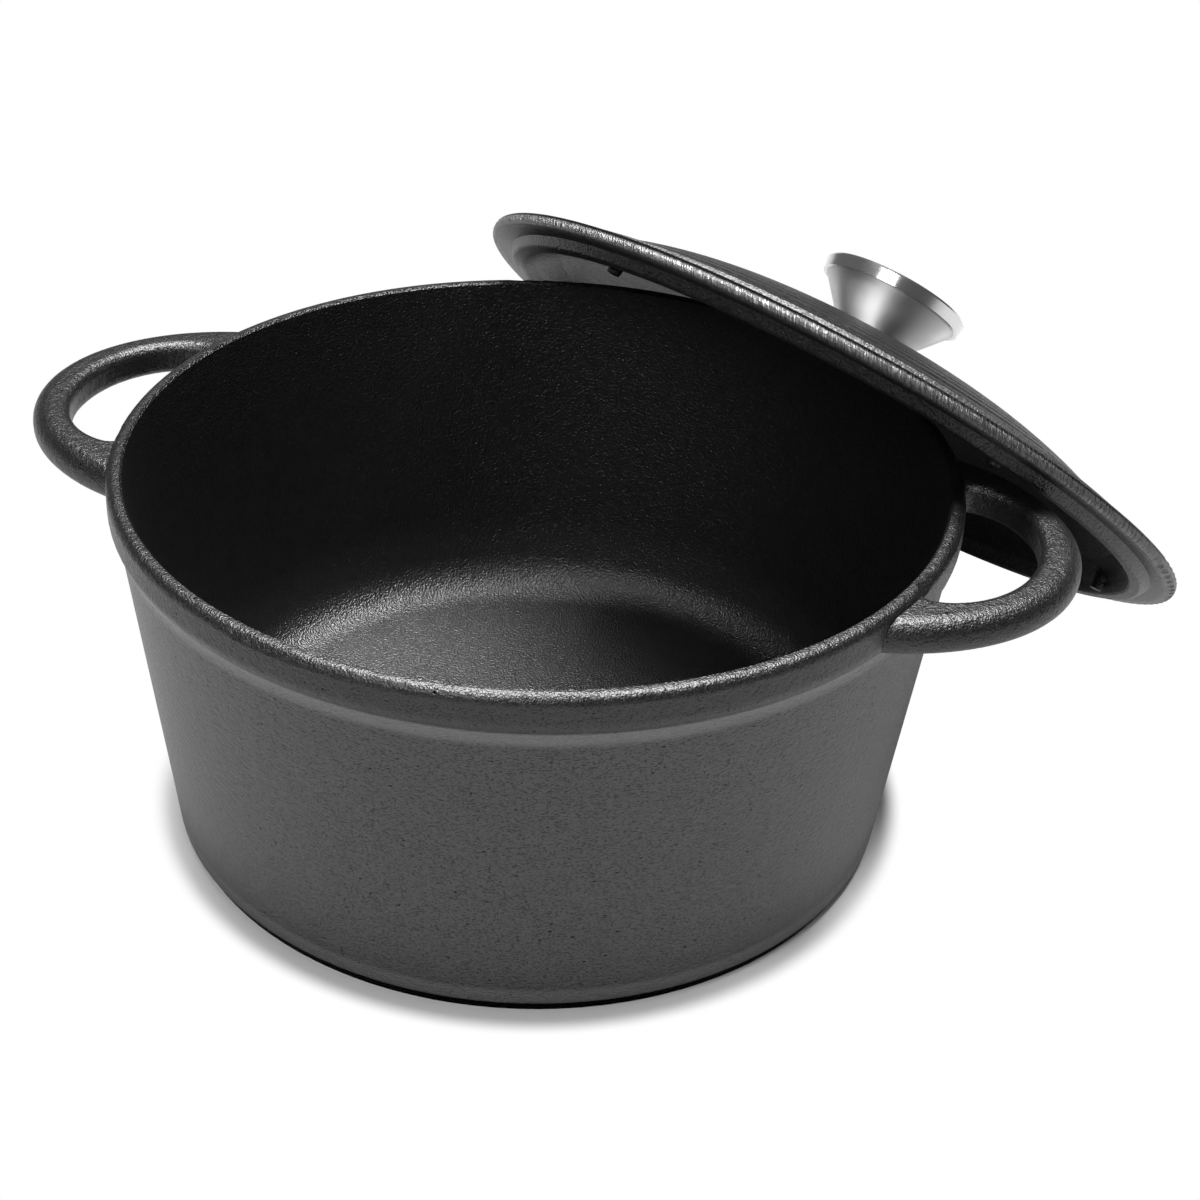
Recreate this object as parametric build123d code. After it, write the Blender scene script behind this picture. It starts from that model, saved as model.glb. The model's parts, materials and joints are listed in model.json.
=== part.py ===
from build123d import *
from math import cos, hypot, radians, sin
import os

# Driving dimensions, mm. The pot stands on z = 0 with its axis on z and its loop handles along x.

# Pot casting
MOUTH_R = 130.0  # inner radius at the rim, a 26 cm pot
RIM_T = 5.0
POT_H = 127.0
RIM_BAND_H = 14.4
BAND_STEP = 2.5
BAND_SLOPE_H = 4.0
WALL_TAPER = 13.3  # how much smaller the wall's radius is at the foot than under the rim band
FOOT_INSET = 2.0
FOOT_H = 3.2
FLOOR_T = 6.5
FLOOR_FILLET = 14.0
WALL_FOOT_BEVEL = 1.0
BAND_FILLET = 6.0
RIM_OUTER_ROUND = 3.2
RIM_INNER_BEVEL = 0.7

# Loop handles, one ellipse inside another in plan
LOOP_REACH = 37.3  # from the rim to the outermost point of the loop
LOOP_LENGTH_R = 69.1
LOOP_WIDTH_R = 58.0
LOOP_BAR_W = 13.0  # width of the bar at the outermost point
GAP_LENGTH_R = 28.4
GAP_WIDTH_R = 35.4
LOOP_SINK = 0.6  # how far the roots start inside the wall
LOOP_ROOT_FILLET = 10.0
GAP_CORNER_FILLET = 5.0
LOOP_DROP = 2.2
LOOP_H = 11.5
LOOP_OUTER_TOP_ROUND = 6.0
LOOP_OUTER_BOTTOM_ROUND = 4.6
LOOP_INNER_TOP_ROUND = 3.4
LOOP_INNER_BOTTOM_ROUND = 3.8

# Lid casting, in its own frame: seat face on z = 0, axis on z, knob upwards
LID_OVERHANG = 2.4
FLANGE_T = 4.4
FLANGE_W = 7.4
FLANGE_ROUND = 1.9
SKIRT_CLEARANCE = 1.0
SKIRT_H = 3.2
SKIRT_DRAFT = 2.2
SKIRT_W = 6.6
SKIRT_SLOPE_W = 2.9
SKIRT_BEVEL = 0.5
STEP_H = 2.1
STEP_W = 5.4
STEP_RUN = 1.2
SECOND_STEP_H = 1.7
SECOND_STEP_W = 6.6
DOME_DIP = 0.8  # how far the dome's edge lies below the second step
DOME_H = 26.4
DOME_FLAT_R = 45.0
CROWN_T = 4.9
HOLLOW_FLAT_R = 40.0
HOLLOW_BEVEL_W = 7.5
HOLLOW_BEVEL_H = 6.0

# Basting nubs under the lid
NUB_COUNT = 5
NUB_INSET = 1.9
NUB_ROOT_R = 3.5
NUB_TIP_R = 2.2
NUB_DROP = 3.6
NUB_FIRST_DEG = 165.25

# Lid at rest: its rim stands on the table and its hollow leans on the pot's rim
LID_TILT = 42.75
LID_AZIMUTH = 65.2
LID_SIDE = 11.7
LEAN_CLEARANCE = 0.15
LEAN_SPREAD = 20  # degrees to each side over which the rim is measured against the hollow
LEAN_PASSES = 60

# Knob, on the lid's axis
SCREW_R = 3.0
SCREW_HOLE_CLEARANCE = 0.4
COLLAR_R = 9.0
COLLAR_H = 1.2
CONE_FOOT_R = 7.6
CONE_TOP_R = 25.8
CONE_H = 21.8
CONE_SHEET_T = 1.2
CONE_FLOOR_T = 2.4
CAP_LIP_OVERHANG = 1.2
CAP_FLARE = 0.7
CAP_T = 5.0
CAP_BEVEL = 0.9
CAP_SPIGOT_T = 2.2
CAP_SPIGOT_CLEARANCE = 0.1
BOSS_R = 6.0
BOSS_H = 12.0
SCREW_HEAD_R = 5.4
SCREW_HEAD_H = 3.4
SCREW_HEAD_BEVEL = 1.1
SCREW_BITE = 9.0
THREAD_CLEARANCE = 0.05
SLOT_W = 1.6
SLOT_DEPTH = 1.6
FLAT_WASHER_R = 9.0
FLAT_WASHER_T = 1.2
SPRING_WASHER_T = 1.4
SPRING_WASHER_SPLIT = 1.2

# Sizes that follow from them
RIM_R = MOUTH_R + RIM_T
BAND_Z = POT_H - RIM_BAND_H
WALL_TOP_R = RIM_R - BAND_STEP
WALL_FOOT_R = WALL_TOP_R - WALL_TAPER
LOOP_ROOT_R = WALL_TOP_R - LOOP_SINK
LOOP_CENTRE_X = RIM_R + LOOP_REACH - LOOP_LENGTH_R
GAP_CENTRE_X = RIM_R + LOOP_REACH - LOOP_BAR_W - GAP_LENGTH_R
LOOP_TOP_Z = POT_H - LOOP_DROP
LID_R = RIM_R + LID_OVERHANG
SKIRT_R = MOUTH_R - SKIRT_CLEARANCE
SKIRT_INNER_R = SKIRT_R - SKIRT_W
HOLLOW_EDGE_R = SKIRT_INNER_R - SKIRT_SLOPE_W
HOLLOW_END_R = HOLLOW_EDGE_R - HOLLOW_BEVEL_W
HOLLOW_DEPTH = DOME_H - CROWN_T
STEP_1_R = LID_R - FLANGE_W
STEP_1_Z = FLANGE_T + STEP_H
STEP_2_R = STEP_1_R - STEP_W
STEP_2_Z = STEP_1_Z + SECOND_STEP_H
DOME_EDGE_R = STEP_2_R - SECOND_STEP_W
KNOB_HOLE_R = SCREW_R + SCREW_HOLE_CLEARANCE
CONE_FOOT_Z = DOME_H + COLLAR_H
CONE_TOP_Z = CONE_FOOT_Z + CONE_H
BOSS_Z = CONE_FOOT_Z + CONE_FLOOR_T
SCREW_HEAD_TOP_Z = HOLLOW_DEPTH - FLAT_WASHER_T - SPRING_WASHER_T
SCREW_HEAD_Z = SCREW_HEAD_TOP_Z - SCREW_HEAD_H
AT_FOOT = (Align.CENTER, Align.CENTER, Align.MIN)


def eased(face, ease, corners):
    """The face with fillet or chamfer at its corners, given as (x, y, size) of each."""
    for x, y, size in corners:
        corner = face.vertices().sort_by_distance((x, y, 0))[0]
        face = ease(corner, size)
    return face


def turned(face):
    """Solid of revolution about z of a face drawn with radius as x and height as y."""
    return revolve(Plane.XZ * face, Axis.Z)


def pot_outside():
    outline = Polyline(
        (0, 0),
        (WALL_FOOT_R - FOOT_INSET, 0),
        (WALL_FOOT_R - FOOT_INSET, FOOT_H),
        (WALL_FOOT_R, FOOT_H),
        (WALL_TOP_R, BAND_Z),
        (RIM_R, BAND_Z + BAND_SLOPE_H),
        (RIM_R, POT_H),
        (0, POT_H),
        close=True,
    )
    rounds = [
        (WALL_TOP_R, BAND_Z, BAND_FILLET),
        (RIM_R, BAND_Z + BAND_SLOPE_H, BAND_FILLET),
        (RIM_R, POT_H, RIM_OUTER_ROUND),
    ]
    section = eased(make_face(outline), fillet, rounds)
    return turned(eased(section, chamfer, [(WALL_FOOT_R, FOOT_H, WALL_FOOT_BEVEL)]))


def pot_cavity():
    """The inside, drafted like the outside of the wall."""
    draft = WALL_TAPER / (BAND_Z - FOOT_H)
    floor_r = MOUTH_R - (POT_H - FLOOR_T) * draft
    outline = Polyline(
        (0, FLOOR_T),
        (floor_r, FLOOR_T),
        (MOUTH_R, POT_H - RIM_INNER_BEVEL),
        (MOUTH_R + RIM_INNER_BEVEL, POT_H),
        (0, POT_H),
        close=True,
    )
    return turned(eased(make_face(outline), fillet, [(floor_r, FLOOR_T, FLOOR_FILLET)]))


def level_face(plate, z):
    return plate.faces().filter_by(Plane.XY).sort_by_distance((0, 0, z))[0]


def loop_gap():
    """The finger gap inside the right handle, with the corners at the wall rounded."""
    outline = Pos(GAP_CENTRE_X, 0) * Ellipse(GAP_LENGTH_R, GAP_WIDTH_R) - Circle(LOOP_ROOT_R)
    gap = Pos(0, 0, LOOP_TOP_Z - LOOP_H) * extrude(outline, LOOP_H)
    wall_corners = gap.edges().filter_by(Axis.Z).sort_by(Axis.X)[:2]
    return fillet(wall_corners, GAP_CORNER_FILLET)


def handle_plate():
    """Both loop handles and the disc between them, which the cavity later cuts away."""
    outline = Circle(LOOP_ROOT_R)
    for side in (-1, 1):
        outline += Pos(side * LOOP_CENTRE_X, 0) * Ellipse(LOOP_LENGTH_R, LOOP_WIDTH_R)
    plate = Pos(0, 0, LOOP_TOP_Z - LOOP_H) * extrude(outline, LOOP_H)
    upright = plate.edges().filter_by(Axis.Z)
    roots = sorted(upright, key=lambda edge: abs(edge.center().Y))[-4:]
    plate = fillet(roots, LOOP_ROOT_FILLET)
    plate -= [loop_gap(), mirror(loop_gap(), Plane.YZ)]
    for z, outer_round, inner_round in (
        (LOOP_TOP_Z, LOOP_OUTER_TOP_ROUND, LOOP_INNER_TOP_ROUND),
        (LOOP_TOP_Z - LOOP_H, LOOP_OUTER_BOTTOM_ROUND, LOOP_INNER_BOTTOM_ROUND),
    ):
        plate = fillet(level_face(plate, z).outer_wire().edges(), outer_round)
        inner_wires = level_face(plate, z).inner_wires()
        plate = fillet([edge for wire in inner_wires for edge in wire.edges()], inner_round)
    return plate


def pot():
    return pot_outside() + handle_plate() - pot_cavity()


def lid_casting():
    dome_end = (DOME_EDGE_R, STEP_2_Z - DOME_DIP)
    hollow_end = (HOLLOW_END_R, HOLLOW_BEVEL_H)
    outline = Line((0, DOME_H), (DOME_FLAT_R, DOME_H))
    outline += TangentArc((DOME_FLAT_R, DOME_H), dome_end, tangent=(1, 0))
    outline += Polyline(
        dome_end,
        (STEP_2_R - STEP_RUN, STEP_2_Z),
        (STEP_2_R, STEP_1_Z),
        (STEP_1_R - STEP_RUN, STEP_1_Z),
        (STEP_1_R, FLANGE_T),
        (LID_R, FLANGE_T),
        (LID_R, 0),
        (SKIRT_R, 0),
        (SKIRT_R - SKIRT_DRAFT, -SKIRT_H),
        (SKIRT_INNER_R, -SKIRT_H),
        (HOLLOW_EDGE_R, 0),
        hollow_end,
    )
    outline += TangentArc((HOLLOW_FLAT_R, HOLLOW_DEPTH), hollow_end, tangent=(1, 0))
    outline += Polyline((HOLLOW_FLAT_R, HOLLOW_DEPTH), (0, HOLLOW_DEPTH), (0, DOME_H))
    flange = [(LID_R, FLANGE_T, FLANGE_ROUND), (LID_R, 0, FLANGE_ROUND)]
    section = eased(make_face(outline), fillet, flange)
    skirt = [(SKIRT_R - SKIRT_DRAFT, -SKIRT_H, SKIRT_BEVEL), (SKIRT_INNER_R, -SKIRT_H, SKIRT_BEVEL)]
    return turned(eased(section, chamfer, skirt))


def basting_nub():
    """A drafted peg whose root ends inside the lid, level with the top of the flange."""
    return Pos(0, 0, -NUB_DROP) * Cone(NUB_TIP_R, NUB_ROOT_R, NUB_DROP + FLANGE_T, align=AT_FOOT)


def lid():
    casting = lid_casting()
    for k in range(NUB_COUNT):
        turn = NUB_FIRST_DEG + k * 360 / NUB_COUNT
        casting += Rot(Z=turn) * Pos(HOLLOW_EDGE_R - NUB_INSET, 0) * basting_nub()
    return casting - Cylinder(KNOB_HOLE_R, DOME_H, align=AT_FOOT)


def ring(outer_r, inner_r, low_z, height):
    """Plain ring standing on low_z about the lid's axis."""
    return Pos(0, 0, low_z) * extrude(Circle(outer_r) - Circle(inner_r), height)


def knob_collar():
    return ring(COLLAR_R, KNOB_HOLE_R, DOME_H, COLLAR_H)


def knob_cone():
    """Thin turned cup, open under the cap, with a thicker floor round the screw."""
    slope = (CONE_TOP_R - CONE_FOOT_R) / CONE_H
    outline = Polyline(
        (KNOB_HOLE_R, CONE_FOOT_Z),
        (CONE_FOOT_R, CONE_FOOT_Z),
        (CONE_TOP_R, CONE_TOP_Z),
        (CONE_TOP_R - CONE_SHEET_T, CONE_TOP_Z),
        (CONE_FOOT_R - CONE_SHEET_T + CONE_FLOOR_T * slope, BOSS_Z),
        (KNOB_HOLE_R, BOSS_Z),
        close=True,
    )
    return turned(make_face(outline))


def knob_boss():
    return ring(BOSS_R, SCREW_R + THREAD_CLEARANCE, BOSS_Z, BOSS_H)


def knob_cap():
    """Flat disc with a spigot that centres it in the cone."""
    slope = (CONE_TOP_R - CONE_FOOT_R) / CONE_H
    spigot_r = CONE_TOP_R - CONE_SHEET_T - CAP_SPIGOT_T * slope - CAP_SPIGOT_CLEARANCE
    lip_r = CONE_TOP_R + CAP_LIP_OVERHANG
    cap_r = lip_r + CAP_FLARE
    outline = Polyline(
        (0, CONE_TOP_Z - CAP_SPIGOT_T),
        (spigot_r, CONE_TOP_Z - CAP_SPIGOT_T),
        (spigot_r, CONE_TOP_Z),
        (lip_r, CONE_TOP_Z),
        (cap_r, CONE_TOP_Z + CAP_T - CAP_BEVEL),
        (cap_r - CAP_BEVEL, CONE_TOP_Z + CAP_T),
        (0, CONE_TOP_Z + CAP_T),
        close=True,
    )
    return turned(make_face(outline))


def flat_washer():
    return ring(FLAT_WASHER_R, KNOB_HOLE_R, HOLLOW_DEPTH - FLAT_WASHER_T, FLAT_WASHER_T)


def spring_washer():
    whole = ring(SCREW_HEAD_R, KNOB_HOLE_R, SCREW_HEAD_TOP_Z, SPRING_WASHER_T)
    split = Box(SCREW_HEAD_R, SPRING_WASHER_SPLIT, SPRING_WASHER_T, align=(Align.MIN, Align.CENTER, Align.MIN))
    return whole - Pos(0, 0, SCREW_HEAD_TOP_Z) * split


def knob_screw():
    head = Pos(0, 0, SCREW_HEAD_Z) * Cylinder(SCREW_HEAD_R, SCREW_HEAD_H, align=AT_FOOT)
    head = chamfer(head.edges().sort_by(Axis.Z)[0], SCREW_HEAD_BEVEL)
    shank_h = BOSS_Z + SCREW_BITE - SCREW_HEAD_TOP_Z
    shank = Pos(0, 0, SCREW_HEAD_TOP_Z) * Cylinder(SCREW_R, shank_h, align=AT_FOOT)
    slot = Pos(0, 0, SCREW_HEAD_Z) * Box(2 * SCREW_HEAD_R, SLOT_W, SLOT_DEPTH, align=AT_FOOT)
    return head + shank - slot


def lid_height():
    """Height of the seat face's centre when the rounded flange stands on the table."""
    tilt = radians(LID_TILT)
    return (LID_R - FLANGE_ROUND) * sin(tilt) + FLANGE_ROUND * (1 - cos(tilt))


def lean_gap(reach):
    """Least gap between the pot's rounded rim and the lid's hollow, with the lid that far out."""
    tilt = radians(LID_TILT)
    rise = HOLLOW_DEPTH - HOLLOW_BEVEL_H
    arc_r = ((HOLLOW_END_R - HOLLOW_FLAT_R) ** 2 + rise**2) / (2 * rise)
    rim_r = RIM_R - RIM_OUTER_ROUND
    up = POT_H - RIM_OUTER_ROUND - lid_height()
    gaps = []
    for degree in range(-LEAN_SPREAD, LEAN_SPREAD + 1):
        out = rim_r * cos(radians(degree)) - reach
        aside = rim_r * sin(radians(degree)) + LID_SIDE
        radius = hypot(out * cos(tilt) - up * sin(tilt), aside)
        height = out * sin(tilt) + up * cos(tilt)
        past_flat = max(radius - HOLLOW_FLAT_R, 0)
        gaps.append(arc_r - hypot(past_flat, height - HOLLOW_DEPTH + arc_r) - RIM_OUTER_ROUND)
    return min(gaps)


def lid_reach():
    """How far out the lid's centre lies, so that its hollow rests on the rim."""
    reach = RIM_R
    for _ in range(LEAN_PASSES):
        reach += LEAN_CLEARANCE - lean_gap(reach)
    return reach


def leaning(piece):
    """A lid piece moved from the lid's own frame to its place against the pot."""
    place = Pos(lid_reach(), -LID_SIDE, lid_height())
    return Rot(Z=LID_AZIMUTH) * place * Rot(Y=LID_TILT) * piece


os.makedirs("parts", exist_ok=True)
export_step(pot(), "parts/pot.step")
lid_pieces = {
    "lid": lid,
    "knob_collar": knob_collar,
    "knob_cone": knob_cone,
    "knob_boss": knob_boss,
    "knob_cap": knob_cap,
    "flat_washer": flat_washer,
    "spring_washer": spring_washer,
    "knob_screw": knob_screw,
}
for name, build in lid_pieces.items():
    export_step(leaning(build()), f"parts/{name}.step")
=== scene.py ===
import json
from math import atan2, hypot, pi, radians

import bpy
from mathutils import Matrix, Vector


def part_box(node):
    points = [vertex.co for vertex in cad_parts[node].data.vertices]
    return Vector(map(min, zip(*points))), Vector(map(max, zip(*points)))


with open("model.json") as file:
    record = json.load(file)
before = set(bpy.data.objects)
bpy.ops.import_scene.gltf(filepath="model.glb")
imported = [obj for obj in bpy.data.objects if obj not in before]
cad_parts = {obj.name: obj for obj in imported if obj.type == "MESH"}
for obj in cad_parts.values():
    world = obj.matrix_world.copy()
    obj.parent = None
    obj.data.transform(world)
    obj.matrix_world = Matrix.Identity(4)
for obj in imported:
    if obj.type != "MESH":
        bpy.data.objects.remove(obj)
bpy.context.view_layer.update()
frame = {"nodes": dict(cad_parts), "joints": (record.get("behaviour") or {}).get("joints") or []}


# The pot: one sand casting in grey iron with its two loop handles. The mould leaves an orange-peel
# skin with a few open pits, finer inside and on the rim band and handles. A black seasoning oil is
# baked on all over. A painted highlight makes a paler line under the band and just over the foot,
# and painted shade darkens the foot ring, the inner wall, the rim band and the handles.
pot = frame["nodes"]["pot"]
_, pot_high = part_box("pot")
MOUTH_R = 0.130
RIM_R = pot_high.y
POT_H = pot_high.z
WALL_DRAFT = 0.1216  # run of the inner wall for each metre of rise
INNER_WALL_EDGE = (-0.0012, -0.0006)
FOOT_H = 0.0032
# Painted shade: the foot ring and a little above it are black, for the shade in the gap under the wall.
FOOT_RING_SHADE_Z = (FOOT_H + 0.0005, FOOT_H + 0.0010)
FINE_SKIN_Z = (0.1120, 0.1135)
# Painted shade: the inner wall is darkened from a little above the floor upwards.
INNER_SHADE_Z = (0.014, 0.040)
INNER_SHADE = 0.45
# Painted shade: the rim band and the handles are darkened all over.
TOP_SHADE = 0.3
# Painted highlights: paler lines under the band and just over the foot.
UNDER_BAND_HIGHLIGHT_Z = (0.1075, 0.1115, 0.1130, 0.1145)
UNDER_BAND_HIGHLIGHT = 0.31
OVER_FOOT_HIGHLIGHT_Z = (0.0040, 0.0050, 0.0080, 0.0110)
OVER_FOOT_HIGHLIGHT = 0.26
OUTER_STRETCH = (1, 1, 2)  # the peel's lumps are twice as wide as they are high
INNER_SKIN = {"Peel per m": 800.0, "Peel mm": 0.1, "Grain per m": 1400.0, "Grain mm": 0.5, "Pit share": 0.01}
TOP_SKIN = {"Grain per m": 1600.0, "Grain mm": 0.26, "Hollow share": 0.6}
PIT_R = (0.08, 0.24)  # smallest and largest pit, as a share of a cell
HOLLOW_GRAIN = (0.34, 0.47)
IRON_DARK = (0.0045, 0.0045, 0.0046, 1)
IRON_PALE = (0.0085, 0.0085, 0.0086, 1)
PIT_AND_SHADE_BLACK = (0.003, 0.003, 0.003, 1)
GROUND_AND_HIGHLIGHT_IRON = (0.4, 0.4, 0.4, 1)
GROUND_AND_HIGHLIGHT_METAL = 2.5
IRON_ROUGHNESS = (0.34, 0.44)
DRIFT_PER_M = 160.0
POT_IOR = 1.74


class Nodes:
    """A node tree that is filled by short calls: values go on sockets, and nodes are linked."""

    def __init__(self, tree):
        self.tree = tree

    def add(self, kind, settings=None, **sockets):
        node = self.tree.nodes.new(kind)
        for name, value in (settings or {}).items():
            setattr(node, name, value)
        for name, value in sockets.items():
            self.put(node, name.replace("_", " "), value)
        return node

    def put(self, node, name, value):
        socket = node.inputs[int(name[1:])] if name[1:].isdigit() else node.inputs[name]
        if isinstance(value, bpy.types.NodeSocket):
            self.tree.links.new(value, socket)
        else:
            socket.default_value = value

    def math(self, operation, a, b=0.0, clamp=False):
        node = self.add("ShaderNodeMath", {"operation": operation, "use_clamp": clamp}, i0=a, i1=b)
        return node.outputs[0]

    def plus(self, a, b):
        return self.math("ADD", a, b)

    def minus(self, a, b):
        return self.math("SUBTRACT", a, b)

    def times(self, a, b):
        return self.math("MULTIPLY", a, b)

    def most(self, a, b):
        return self.math("MAXIMUM", a, b)

    def vector(self, operation, a, b=(0, 0, 0)):
        node = self.add("ShaderNodeVectorMath", {"operation": operation}, i0=a, i1=b)
        return node.outputs["Value" if operation in ("LENGTH", "DOT_PRODUCT") else "Vector"]

    def ramp(self, value, low, high, to_low=0.0, to_high=1.0):
        """The value from low to high, eased to run from to_low to to_high."""
        node = self.add("ShaderNodeMapRange", {"interpolation_type": "SMOOTHSTEP"}, Value=value)
        for name, number in zip(("From Min", "From Max", "To Min", "To Max"), (low, high, to_low, to_high)):
            self.put(node, name, number)
        return node.outputs["Result"]

    def stripe(self, value, start, full, fade, end, share=1.0):
        """The share from full to fade, eased to 0 at start and at end."""
        return self.times(self.ramp(value, start, full), self.ramp(value, fade, end, share, 0.0))

    def blend(self, share, a, b):
        """The number a where the share is 0, and b where it is 1."""
        return self.add("ShaderNodeMix", {"data_type": "FLOAT"}, i0=share, i2=a, i3=b).outputs[0]

    def mix(self, share, a, b):
        """The colour a where the share is 0, and b where it is 1."""
        return self.add("ShaderNodeMix", {"data_type": "RGBA"}, i0=share, i6=a, i7=b).outputs[2]

    def noise(self, place, per_m, detail=2.0):
        texture = self.add("ShaderNodeTexNoise", None, Vector=place, Scale=per_m, Detail=detail)
        return texture.outputs["Fac"]

    def bump(self, height_mm):
        """The surface's normal, tilted by a height in mm."""
        return self.add("ShaderNodeBump", None, Height=height_mm, Distance=0.001).outputs[0]

    def cylindrical(self, place):
        """Distance from the z axis, the unit vector outwards and the height."""
        axes = self.add("ShaderNodeSeparateXYZ", None, Vector=place).outputs
        flat = self.add("ShaderNodeCombineXYZ", None, X=axes["X"], Y=axes["Y"]).outputs[0]
        return self.vector("LENGTH", flat), self.vector("NORMALIZE", flat), axes["Z"]


def group_tree(name, inputs, outputs):
    """A new shader node group with float or vector inputs, given as name: default."""
    tree = bpy.data.node_groups.new(name, "ShaderNodeTree")
    for socket, default in inputs.items():
        kind = "NodeSocketVector" if default is None else "NodeSocketFloat"
        made = tree.interface.new_socket(socket, in_out="INPUT", socket_type=kind)
        if default is not None:
            made.default_value = default
    for socket in outputs:
        tree.interface.new_socket(socket, in_out="OUTPUT", socket_type="NodeSocketFloat")
    nodes = Nodes(tree)
    return nodes, nodes.add("NodeGroupInput").outputs, nodes.add("NodeGroupOutput")


def cast_skin_group():
    """Height in mm of a cast surface: peel, finer grain and scattered pits, with masks of each."""
    nodes, inlet, outlet = group_tree(
        "cast_skin",
        {"Place": None, "Peel per m": 420.0, "Peel mm": 0.35, "Grain per m": 1050.0, "Grain mm": 0.32,
         "Pits per m": 340.0, "Pit share": 0.2, "Pit mm": 0.3, "Hollow share": 0.5},
        ("Height", "Peel", "Grain", "Pits"),
    )
    peel = nodes.noise(inlet["Place"], inlet["Peel per m"])
    grain = nodes.noise(inlet["Place"], inlet["Grain per m"], 1.0)
    cells = nodes.add("ShaderNodeTexVoronoi", None, Vector=inlet["Place"], Scale=inlet["Pits per m"])
    chance = nodes.add("ShaderNodeSeparateColor", None, Color=cells.outputs["Color"])
    chosen = nodes.math("LESS_THAN", chance.outputs[0], inlet["Pit share"])
    size = nodes.plus(nodes.times(chance.outputs[1], PIT_R[1] - PIT_R[0]), PIT_R[0])
    depth = nodes.math("SUBTRACT", 1.0, nodes.math("DIVIDE", cells.outputs["Distance"], size), True)
    pits = nodes.times(chosen, depth)
    height = nodes.plus(nodes.times(peel, inlet["Peel mm"]), nodes.times(grain, inlet["Grain mm"]))
    height = nodes.minus(height, nodes.times(pits, inlet["Pit mm"]))
    hollows = nodes.times(nodes.ramp(grain, *HOLLOW_GRAIN, 1.0, 0.0), inlet["Hollow share"])
    black = nodes.most(nodes.ramp(pits, 0.0, 0.35), hollows)
    for name, value in (("Height", height), ("Peel", peel), ("Grain", grain), ("Pits", black)):
        nodes.put(outlet, name, value)
    return nodes.tree


cast_skin = cast_skin_group()


def skin_on(nodes, place, changes):
    """The cast skin's outputs at a place, with some of its values changed."""
    skin = nodes.add("ShaderNodeGroup", {"node_tree": cast_skin}, Place=place)
    for name, value in changes.items():
        nodes.put(skin, name, value)
    return skin.outputs


def new_material(name):
    material = bpy.data.materials.new(name)
    material.use_nodes = True
    material.node_tree.nodes.clear()
    nodes = Nodes(material.node_tree)
    shader = nodes.add("ShaderNodeBsdfPrincipled")
    nodes.add("ShaderNodeOutputMaterial", None, Surface=shader.outputs[0])
    place = nodes.add("ShaderNodeTexCoord").outputs["Object"]
    return material, nodes, shader, place


def iron_finish(nodes, shader, grain, place, pits_and_shade, ground_and_highlight, height, ior):
    """Seasoned iron: oil black that drifts in tone, black in a hollow and under painted shade, and paler
    where it is ground and where a highlight is painted.
    """
    tone = nodes.plus(nodes.times(nodes.noise(place, DRIFT_PER_M, 5.0), 0.6), nodes.times(grain, 0.4))
    oiled = nodes.mix(pits_and_shade, nodes.mix(nodes.ramp(tone, 0.35, 0.65), IRON_DARK, IRON_PALE), PIT_AND_SHADE_BLACK)
    nodes.put(shader, "Base Color", nodes.mix(ground_and_highlight, oiled, GROUND_AND_HIGHLIGHT_IRON))
    nodes.put(shader, "Metallic", nodes.most(pits_and_shade, nodes.math("MULTIPLY", ground_and_highlight, GROUND_AND_HIGHLIGHT_METAL, True)))
    nodes.put(shader, "IOR", ior)
    nodes.put(shader, "Roughness", nodes.ramp(grain, 0.3, 0.7, *IRON_ROUGHNESS))
    nodes.put(shader, "Normal", nodes.bump(height))


def seasoned_pot():
    material, nodes, shader, place = new_material("seasoned_pot_iron")
    radius, _, z = nodes.cylindrical(place)
    inner_r = nodes.plus(nodes.times(z, WALL_DRAFT), MOUTH_R - POT_H * WALL_DRAFT)
    inside = nodes.ramp(nodes.minus(inner_r, radius), *INNER_WALL_EDGE)
    outside = nodes.blend(inside, 1.0, 0.0)
    top = nodes.ramp(z, *FINE_SKIN_Z)
    outer_skin = skin_on(nodes, nodes.vector("MULTIPLY", place, OUTER_STRETCH), {})
    inner_skin = skin_on(nodes, place, INNER_SKIN)
    top_skin = skin_on(nodes, place, TOP_SKIN)
    height = nodes.blend(top, outer_skin["Height"], top_skin["Height"])
    height = nodes.blend(inside, height, inner_skin["Height"])
    # The inner wall above the floor is darkened: painted shade.
    inner_shade = nodes.times(nodes.ramp(z, *INNER_SHADE_Z), INNER_SHADE)
    # On the rim band and handles the pits are joined by painted shade that darkens the whole top.
    pits = nodes.blend(top, outer_skin["Pits"], nodes.most(top_skin["Pits"], TOP_SHADE))
    # The foot ring is black: painted shade.
    foot_ring_shade = nodes.ramp(z, *FOOT_RING_SHADE_Z, 1.0, 0.0)
    pits_and_shade = nodes.most(foot_ring_shade, nodes.blend(inside, pits, inner_shade))
    # Paler lines under the band and just over the foot, off the handles: painted highlights.
    under_band_highlight = nodes.stripe(z, *UNDER_BAND_HIGHLIGHT_Z, UNDER_BAND_HIGHLIGHT)
    over_foot_highlight = nodes.stripe(z, *OVER_FOOT_HIGHLIGHT_Z, OVER_FOOT_HIGHLIGHT)
    off_handles = nodes.ramp(radius, RIM_R, RIM_R + 0.001, 1.0, 0.0)
    band_and_foot_highlight = nodes.times(nodes.times(nodes.most(under_band_highlight, over_foot_highlight), outside), off_handles)
    iron_finish(nodes, shader, outer_skin["Grain"], place, pits_and_shade, band_and_foot_highlight, height, POT_IOR)
    return material


def dress(node, material):
    """Gives a CAD node its material."""
    node.data.materials.clear()
    node.data.materials.append(material)


dress(pot, seasoned_pot())


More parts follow.
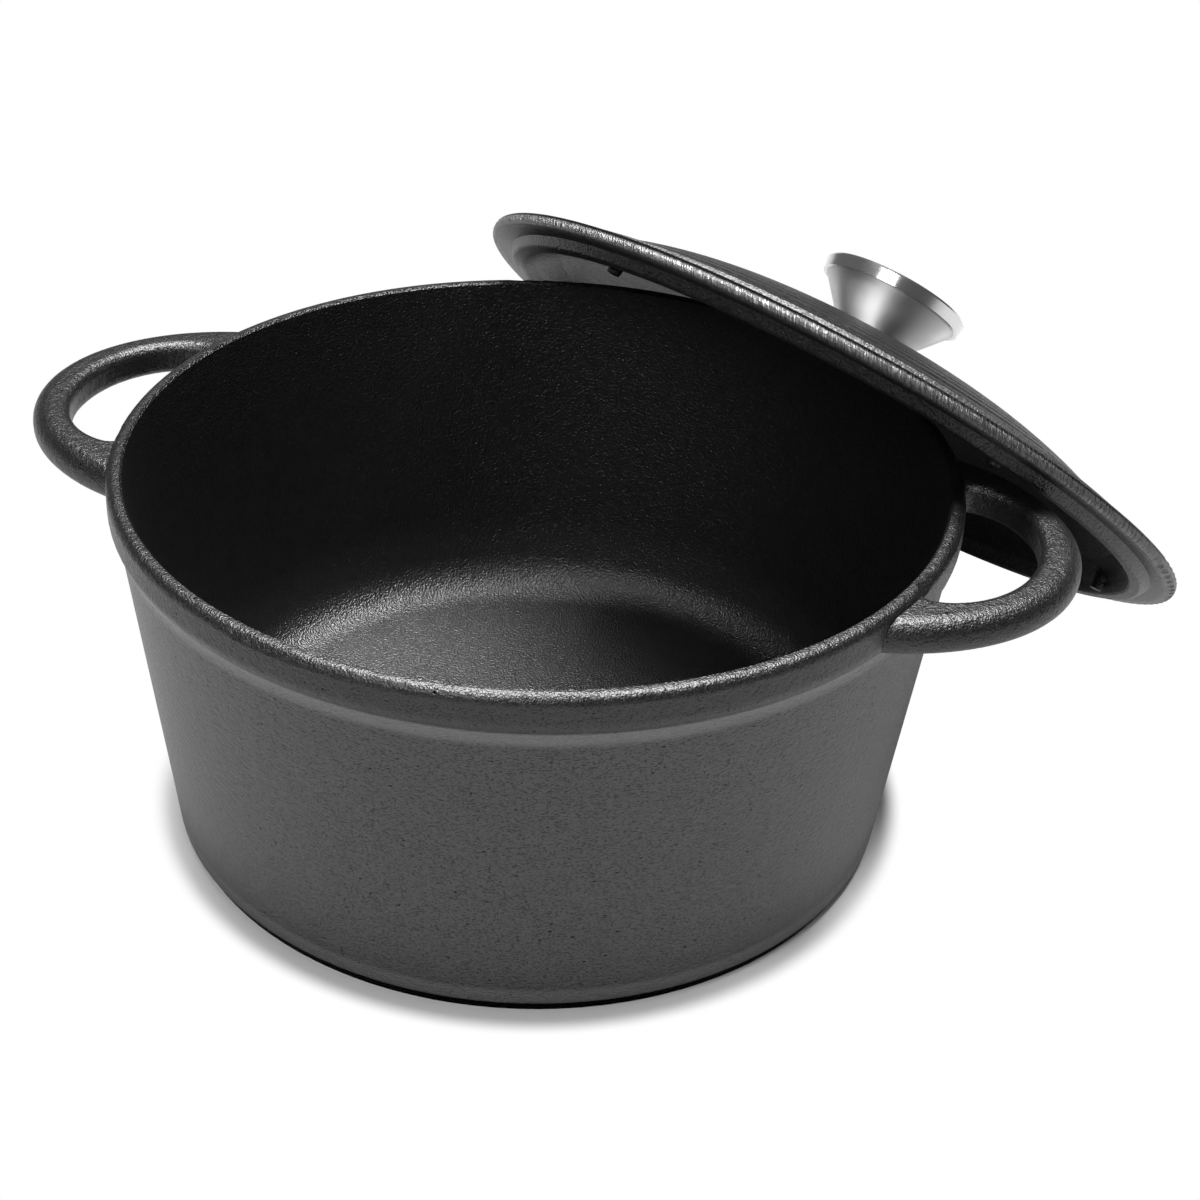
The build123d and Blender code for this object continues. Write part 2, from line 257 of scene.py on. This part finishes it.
# The lid: a second casting, thinner, with a flange that seats on the rim, a skirt that centres it, two
# low steps and a flat-topped dome with faint rings. It leans on the pot. The flange's edge is ground,
# which leaves short slanted marks. Painted highlights run along the corners of the two steps, and
# painted shade darkens the top of the flange and the dome.
lid = frame["nodes"]["lid"]
LID_AXIS = Vector(frame["joints"][0]["axis"]).normalized()
COLLAR_MID_H = 0.0270
collar_low, collar_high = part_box("knob_collar")
LID_CENTRE = (collar_low + collar_high) / 2 - LID_AXIS * COLLAR_MID_H
LID_TURN = (0, atan2(hypot(LID_AXIS.x, LID_AXIS.y), LID_AXIS.z), atan2(LID_AXIS.y, LID_AXIS.x))
LID_R = 0.1374
EDGE_R = (LID_R - 0.0040, LID_R - 0.0020)
FLANGE_TOP_R = (LID_R - 0.0085, LID_R - 0.0065)
FLANGE_TOP_Z = (0.0024, 0.0034)
# Painted shade: the top of the flange is darkened.
FLANGE_TOP_SHADE = 0.8
# Painted shade: the dome is darkened.
DOME_SHADE = 0.55
MARKS_PER_M = 1900.0
MARK_EDGE = (0.36, 0.64)
MARK_LENGTHWISE = 0.15  # a mark's noise runs this much slower up the edge than along it
STROKE_MM = 0.2
STROKE_SLANT = 3.4
EDGE_SLOPE_MM = 300.0  # height lost for each metre up, which turns the edge's face upwards
GROUND_BETWEEN = 0.04
GROUND_ON_MARK = 0.4
RING_PITCH = 0.005
RING_MM = 0.28
RINGS_START = (0.088, 0.100)
RINGS_END = (0.117, 0.1185)
# Painted highlights: pale lines along the corners of the two steps.
STEP_HIGHLIGHT_R = (0.1286, 0.1232)
STEP_HIGHLIGHT_HALF_W = (0.0004, 0.0012)
STEP_HIGHLIGHT_Z = (0.003, 0.004)
STEP_HIGHLIGHT_SHARE = 0.3
LID_SKIN = {"Pit share": 0.12, "Grain per m": 1300.0, "Grain mm": 0.4}
LID_IOR = 1.5


def lid_place(nodes, place):
    """The point in the lid's own frame: axis on z, seat face on z = 0."""
    node = nodes.add("ShaderNodeMapping", {"vector_type": "TEXTURE"}, Vector=place)
    nodes.put(node, "Location", LID_CENTRE)
    nodes.put(node, "Rotation", LID_TURN)
    return node.outputs[0]


def grinding_marks(nodes, outward, z):
    """Mask of short slanted marks round the flange's edge."""
    along = nodes.vector("MULTIPLY", outward, (LID_R, LID_R, 0))
    slant = nodes.times(z, STROKE_SLANT)
    turned = nodes.add("ShaderNodeVectorRotate", {"rotation_type": "Z_AXIS"}, Vector=along, Angle=slant)
    across = nodes.add("ShaderNodeCombineXYZ", None, Z=nodes.times(z, MARK_LENGTHWISE)).outputs[0]
    return nodes.ramp(nodes.noise(nodes.vector("ADD", turned.outputs[0], across), MARKS_PER_M), *MARK_EDGE)


def dome_rings(nodes, radius, peel):
    """Height in mm of the faint rings on the dome, stronger and weaker along the way."""
    faces_up = nodes.vector("DOT_PRODUCT", nodes.add("ShaderNodeTexCoord").outputs["Normal"], LID_AXIS)
    ringed = nodes.times(nodes.stripe(radius, *RINGS_START, *RINGS_END), nodes.ramp(faces_up, 0.0, 0.2))
    ringed = nodes.times(ringed, nodes.ramp(peel, 0.35, 0.65, 0.4, 1.6))
    wave = nodes.math("SINE", nodes.times(radius, 2 * pi / RING_PITCH))
    return nodes.times(nodes.times(wave, ringed), RING_MM)


def seasoned_lid():
    material, nodes, shader, place = new_material("seasoned_lid_iron")
    own = lid_place(nodes, place)
    skin = skin_on(nodes, own, LID_SKIN)
    radius, outward, z = nodes.cylindrical(own)
    edge = nodes.ramp(radius, *EDGE_R)
    top = nodes.ramp(z, *FLANGE_TOP_Z)
    mark = grinding_marks(nodes, outward, z)
    strokes = nodes.minus(nodes.times(mark, STROKE_MM), nodes.times(z, EDGE_SLOPE_MM))
    height = nodes.plus(nodes.blend(edge, skin["Height"], strokes), dome_rings(nodes, radius, skin["Peel"]))
    ground_and_highlight = nodes.times(edge, nodes.plus(nodes.times(mark, GROUND_ON_MARK), GROUND_BETWEEN))
    ground_and_highlight = nodes.times(ground_and_highlight, nodes.blend(top, 1.0, 0.0))
    # Pale lines along the corners of the two steps: painted highlights.
    for step_r in STEP_HIGHLIGHT_R:
        off = nodes.math("ABSOLUTE", nodes.minus(radius, step_r))
        step_highlight = nodes.times(nodes.ramp(off, *STEP_HIGHLIGHT_HALF_W, 1.0, 0.0), skin["Grain"])
        ground_and_highlight = nodes.most(ground_and_highlight, nodes.times(step_highlight, nodes.ramp(z, *STEP_HIGHLIGHT_Z, 0.0, STEP_HIGHLIGHT_SHARE)))
    # The flange's top is darkened: painted shade.
    flange_top_shade = nodes.times(nodes.times(nodes.ramp(radius, *FLANGE_TOP_R), top), FLANGE_TOP_SHADE)
    # The dome is darkened: painted shade.
    pits_and_shade = nodes.most(flange_top_shade, nodes.ramp(radius, *RINGS_END, DOME_SHADE, 0.0))
    pits_and_shade = nodes.most(skin["Pits"], pits_and_shade)
    iron_finish(nodes, shader, skin["Grain"], own, pits_and_shade, ground_and_highlight, height, LID_IOR)
    return material


dress(lid, seasoned_lid())


# The knob: a cone spun from stainless sheet, brushed while it turns, under a polished cap. A screw through
# the lid pulls the cone down on a thin collar, and its nut is the boss inside the cone. The cone's wall is
# bowed a little between its foot and its lip.
CONE_WALL_TOP = 0.0490
LINES_PER_M = 4200.0
SMUDGES_PER_M = 90.0
LINE_SHADE = 0.86
ROUGHNESS_SWING = (0.85, 1.15)


def turned_steel(name, colour, roughness, line_mm, stretch, bow=0.0):
    """Stainless steel with fine lines round the lid's axis, and with the slope of a slightly bowed wall."""
    material, nodes, shader, place = new_material(name)
    radius, _, z = nodes.cylindrical(lid_place(nodes, place))
    along = nodes.add("ShaderNodeCombineXYZ", None, X=radius, Y=z).outputs[0]
    lines = nodes.noise(along, LINES_PER_M, 3.0)
    smudge = nodes.noise(place, SMUDGES_PER_M, 3.0)
    tone = nodes.plus(nodes.times(lines, 0.5), nodes.times(smudge, 0.5))
    shaded = [channel * LINE_SHADE for channel in colour]
    nodes.put(shader, "Base Color", nodes.mix(tone, (*shaded, 1), (*colour, 1)))
    rough = [roughness * swing for swing in ROUGHNESS_SWING]
    nodes.put(shader, "Roughness", nodes.ramp(tone, 0.35, 0.65, *rough))
    slope = nodes.times(nodes.math("MINIMUM", z, CONE_WALL_TOP), bow * 1000)
    nodes.put(shader, "Normal", nodes.bump(nodes.minus(nodes.times(lines, line_mm), slope)))
    nodes.put(shader, "Metallic", 1.0)
    nodes.put(shader, "Anisotropic", stretch)
    outward = nodes.vector("SUBTRACT", place, LID_CENTRE)
    radial = nodes.vector("SUBTRACT", outward, nodes.vector("PROJECT", outward, LID_AXIS))
    nodes.put(shader, "Tangent", radial)
    return material


brushed = turned_steel("brushed_steel", (0.95, 0.95, 0.95), 0.54, 0.010, 0.75, 0.21)
polished = turned_steel("polished_steel", (0.74, 0.74, 0.74), 0.2, 0.004, 0.7)
plain = turned_steel("plain_steel", (0.5, 0.5, 0.5), 0.35, 0.006, 0.3)
for name, material in (
    ("knob_cone", brushed), ("knob_cap", polished), ("knob_collar", polished), ("knob_boss", plain),
    ("flat_washer", plain), ("spring_washer", plain), ("knob_screw", plain),
):
    dress(frame["nodes"][name], material)


# The table: a wide white sheet. It shows the shadow close to the pot's foot and to the lid's edge, and
# fades to plain white. In a reflection it is white near the pot and greyer far off, and dark where the
# pot and lid stand over it.
TABLE_R = 3.0
FOOT_SHADE_R = (0.121, 0.008)  # where the shadow starts to fade, and over what distance
LID_SHADE_R = (0.001, 0.006)
LID_TOUCH = LID_CENTRE + LID_R * Vector((LID_AXIS.x, LID_AXIS.y, 0)).normalized() * LID_AXIS.z
COVER_REACH = 0.15
LID_OFF_COVER = (0.6, 0.85)
MIRRORED_COVER = (0.25, 0.78)
SHEET_R = (0.27, 0.44)
SHEET_FAR = 0.3
SHEET_WHITE = (0.8, 0.8, 0.8, 1)
SHEET_GREY = (0.36, 0.36, 0.36, 1)


def mirror_ray(nodes, path):
    """1 on a ray that a surface reflects or lets through."""
    return nodes.most(path["Is Glossy Ray"], path["Is Transmission Ray"])


def away_from(nodes, place, centre, start, fade):
    """0 within the start distance of the centre, eased to 1."""
    distance = nodes.vector("LENGTH", nodes.vector("SUBTRACT", place, centre))
    return nodes.ramp(nodes.minus(distance, start), 0.0, fade)


def white_table():
    material = bpy.data.materials.new("white_table")
    material.use_nodes = True
    material.node_tree.nodes.clear()
    nodes = Nodes(material.node_tree)
    place = nodes.add("ShaderNodeTexCoord").outputs["Object"]
    path = nodes.add("ShaderNodeLightPath").outputs
    mirror = mirror_ray(nodes, path)
    cover = nodes.add("ShaderNodeAmbientOcclusion", {"samples": 4}, Distance=COVER_REACH).outputs["AO"]
    off_lid = away_from(nodes, place, (LID_TOUCH.x, LID_TOUCH.y, 0), *LID_SHADE_R)
    off_lid = nodes.most(off_lid, nodes.ramp(cover, *LID_OFF_COVER))
    clear = nodes.times(away_from(nodes, place, (0, 0, 0), *FOOT_SHADE_R), off_lid)
    sheet = nodes.ramp(nodes.vector("LENGTH", place), *SHEET_R, 1.0, SHEET_FAR)
    mirrored = nodes.times(nodes.ramp(cover, *MIRRORED_COVER), sheet)
    seen = nodes.most(path["Is Camera Ray"], nodes.times(mirror, mirrored))
    matt = nodes.add("ShaderNodeBsdfDiffuse", None, Color=nodes.mix(mirror, SHEET_WHITE, SHEET_GREY))
    glow = nodes.add("ShaderNodeEmission", None, Color=(1, 1, 1, 1), Strength=1.0)
    both = nodes.add("ShaderNodeMixShader", None, Fac=nodes.times(seen, clear))
    nodes.put(both, "i1", matt.outputs[0])
    nodes.put(both, "i2", glow.outputs[0])
    nodes.add("ShaderNodeOutputMaterial", None, Surface=both.outputs[0])
    return material


bpy.ops.mesh.primitive_circle_add(vertices=96, radius=TABLE_R, fill_type="NGON")
table = bpy.context.object
table.name = "table"
table.data.materials.append(white_table())


# Studio light: a white backdrop behind the pot in a dim room, a soft box overhead, and one in front and to
# the left, which draws the bright line down the knob.
ROOM_LEVEL = 0.22
DARK_LEVEL = 0.10
BACKDROP_LEVEL = 0.14
SIDE_WAY = (-0.97, -0.25, 0)
SIDE_SPREAD = (0.3, 0.8)
BACKDROP_WAY = (-0.27, 0.963, 0)
BACKDROP_SPREAD = (0.74, 0.86)
BACKDROP_TOP_RISE = (0.42, 0.56)
LIT_POINT = (0, 0, 0.08)
SOFT_BOXES = (
    ("overhead_box", (-0.02, 0.20, 1.3), (0.9, 0.62), 56),
    ("front_box", (-0.22, -1.23, 1.29), (0.8, 0.6), 12),
)


def studio_room():
    world = bpy.data.worlds.new("studio_room")
    world.use_nodes = True
    world.node_tree.nodes.clear()
    bpy.context.scene.world = world
    nodes = Nodes(world.node_tree)
    path = nodes.add("ShaderNodeLightPath").outputs
    way = nodes.add("ShaderNodeTexCoord").outputs["Generated"]
    rise = nodes.add("ShaderNodeSeparateXYZ", None, Vector=way).outputs["Z"]
    behind = nodes.ramp(nodes.vector("DOT_PRODUCT", way, BACKDROP_WAY), *BACKDROP_SPREAD)
    beside = nodes.ramp(nodes.vector("DOT_PRODUCT", way, SIDE_WAY), *SIDE_SPREAD)
    backdrop = nodes.times(nodes.most(behind, beside), nodes.ramp(rise, *BACKDROP_TOP_RISE, 1.0, 0.0))
    mirrored = nodes.blend(backdrop, DARK_LEVEL, BACKDROP_LEVEL)
    unseen = nodes.blend(mirror_ray(nodes, path), ROOM_LEVEL, mirrored)
    level = nodes.blend(path["Is Camera Ray"], unseen, 1.0)
    back = nodes.add("ShaderNodeBackground", None, Color=(1, 1, 1, 1), Strength=level)
    nodes.add("ShaderNodeOutputWorld", None, Surface=back.outputs[0])


def soft_box(name, place, size, power):
    light = bpy.data.lights.new(name, "AREA")
    light.shape = "RECTANGLE"
    light.size, light.size_y = size
    light.energy = power
    lamp = bpy.data.objects.new(name, light)
    bpy.context.scene.collection.objects.link(lamp)
    lamp.location = place
    lamp.rotation_euler = (Vector(LIT_POINT) - Vector(place)).to_track_quat("-Z", "Y").to_euler()


studio_room()
for box in SOFT_BOXES:
    soft_box(*box)


# The camera stands a little above the pot, in front and to the right, and looks down at it.
CAMERA_PLACE = (0.19382, -0.60975, 0.47828)
CAMERA_TARGET = (0.01473, 0.02690, 0.060)
CAMERA_ROLL = radians(2.778)
LENS_MM = 68.97
camera_data = bpy.data.cameras.new("camera")
camera_data.lens = LENS_MM
camera_data.sensor_width = 36
camera = bpy.data.objects.new("camera", camera_data)
bpy.context.scene.collection.objects.link(camera)
look = Vector(CAMERA_TARGET) - Vector(CAMERA_PLACE)
turn = look.to_track_quat("-Z", "Y").to_matrix().to_4x4() @ Matrix.Rotation(CAMERA_ROLL, 4, "Z")
camera.matrix_world = Matrix.Translation(CAMERA_PLACE) @ turn
bpy.context.scene.camera = camera
bpy.context.scene.view_settings.view_transform = "Standard"
